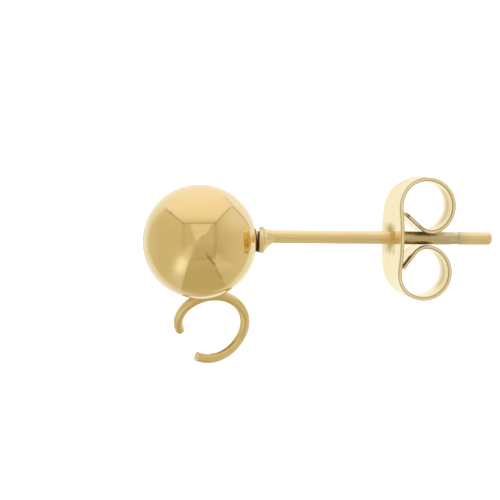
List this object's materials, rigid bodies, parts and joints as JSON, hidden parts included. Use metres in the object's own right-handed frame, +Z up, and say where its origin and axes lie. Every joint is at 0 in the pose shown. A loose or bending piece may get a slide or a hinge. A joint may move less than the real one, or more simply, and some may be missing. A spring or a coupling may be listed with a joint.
{
  "type": "ball stud earring",
  "caption": "Polished ball stud earring with an opened wire ring soldered to the ball, a straight ear post with a collar, and a butterfly clutch that slides off the post.",
  "frame": {"origin": "on the table under the middle of the whole earring's box, as it rests", "axes": "+Z up; +X runs from the ball to the post's free end, level with the table; the ring lies on the ball's -Y side"},
  "size_m": [0.0188, 0.01, 0.006],
  "materials": {
    "ball": "mirror-polished gold plate on stainless steel",
    "ear_post": "drawn and polished gold plate on stainless steel",
    "clutch": "pressed strip, pale gold plate on stainless steel"
  },
  "bodies": {
    "stud": {"ball": "ball", "ear_post": "ear_post"},
    "clutch": {"clutch": "clutch"}
  },
  "joints": [
    {"name": "clutch_slide", "type": "slide", "parent": "stud", "child": "clutch", "axis": [0.9977, -0.0077, -0.0677], "range_m": [-0.0061, 0.006]}
  ]
}
